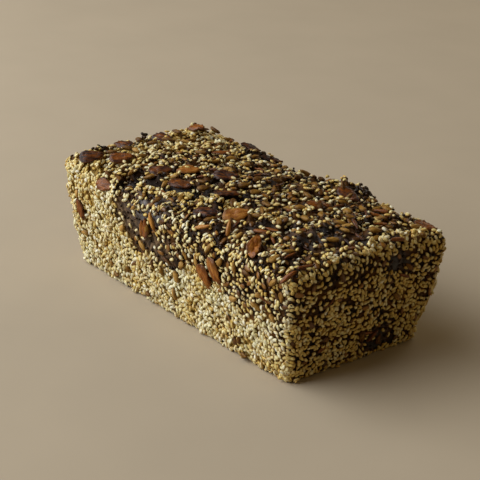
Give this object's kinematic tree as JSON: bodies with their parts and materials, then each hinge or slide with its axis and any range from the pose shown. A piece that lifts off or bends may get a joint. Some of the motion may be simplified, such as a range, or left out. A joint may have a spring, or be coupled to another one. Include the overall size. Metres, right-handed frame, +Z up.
{
  "type": "keto bread",
  "caption": "Uncut tin loaf of seeded keto bread: walls leaning in to a flat base, low rough crown, crust crowded with sesame, pumpkin and sunflower seeds.",
  "frame": {"origin": "middle of the loaf's outline, on the surface it stands on", "axes": "+X along the loaf towards the end shown in the picture, +Y across it, +Z up"},
  "size_m": [0.1957, 0.1054, 0.0698],
  "materials": {
    "seeded_crust": "dark brown baked crust, crowded with pale sesame and brown pumpkin and sunflower seeds"
  },
  "bodies": {
    "root": {"loaf": "seeded_crust"}
  },
  "joints": []
}
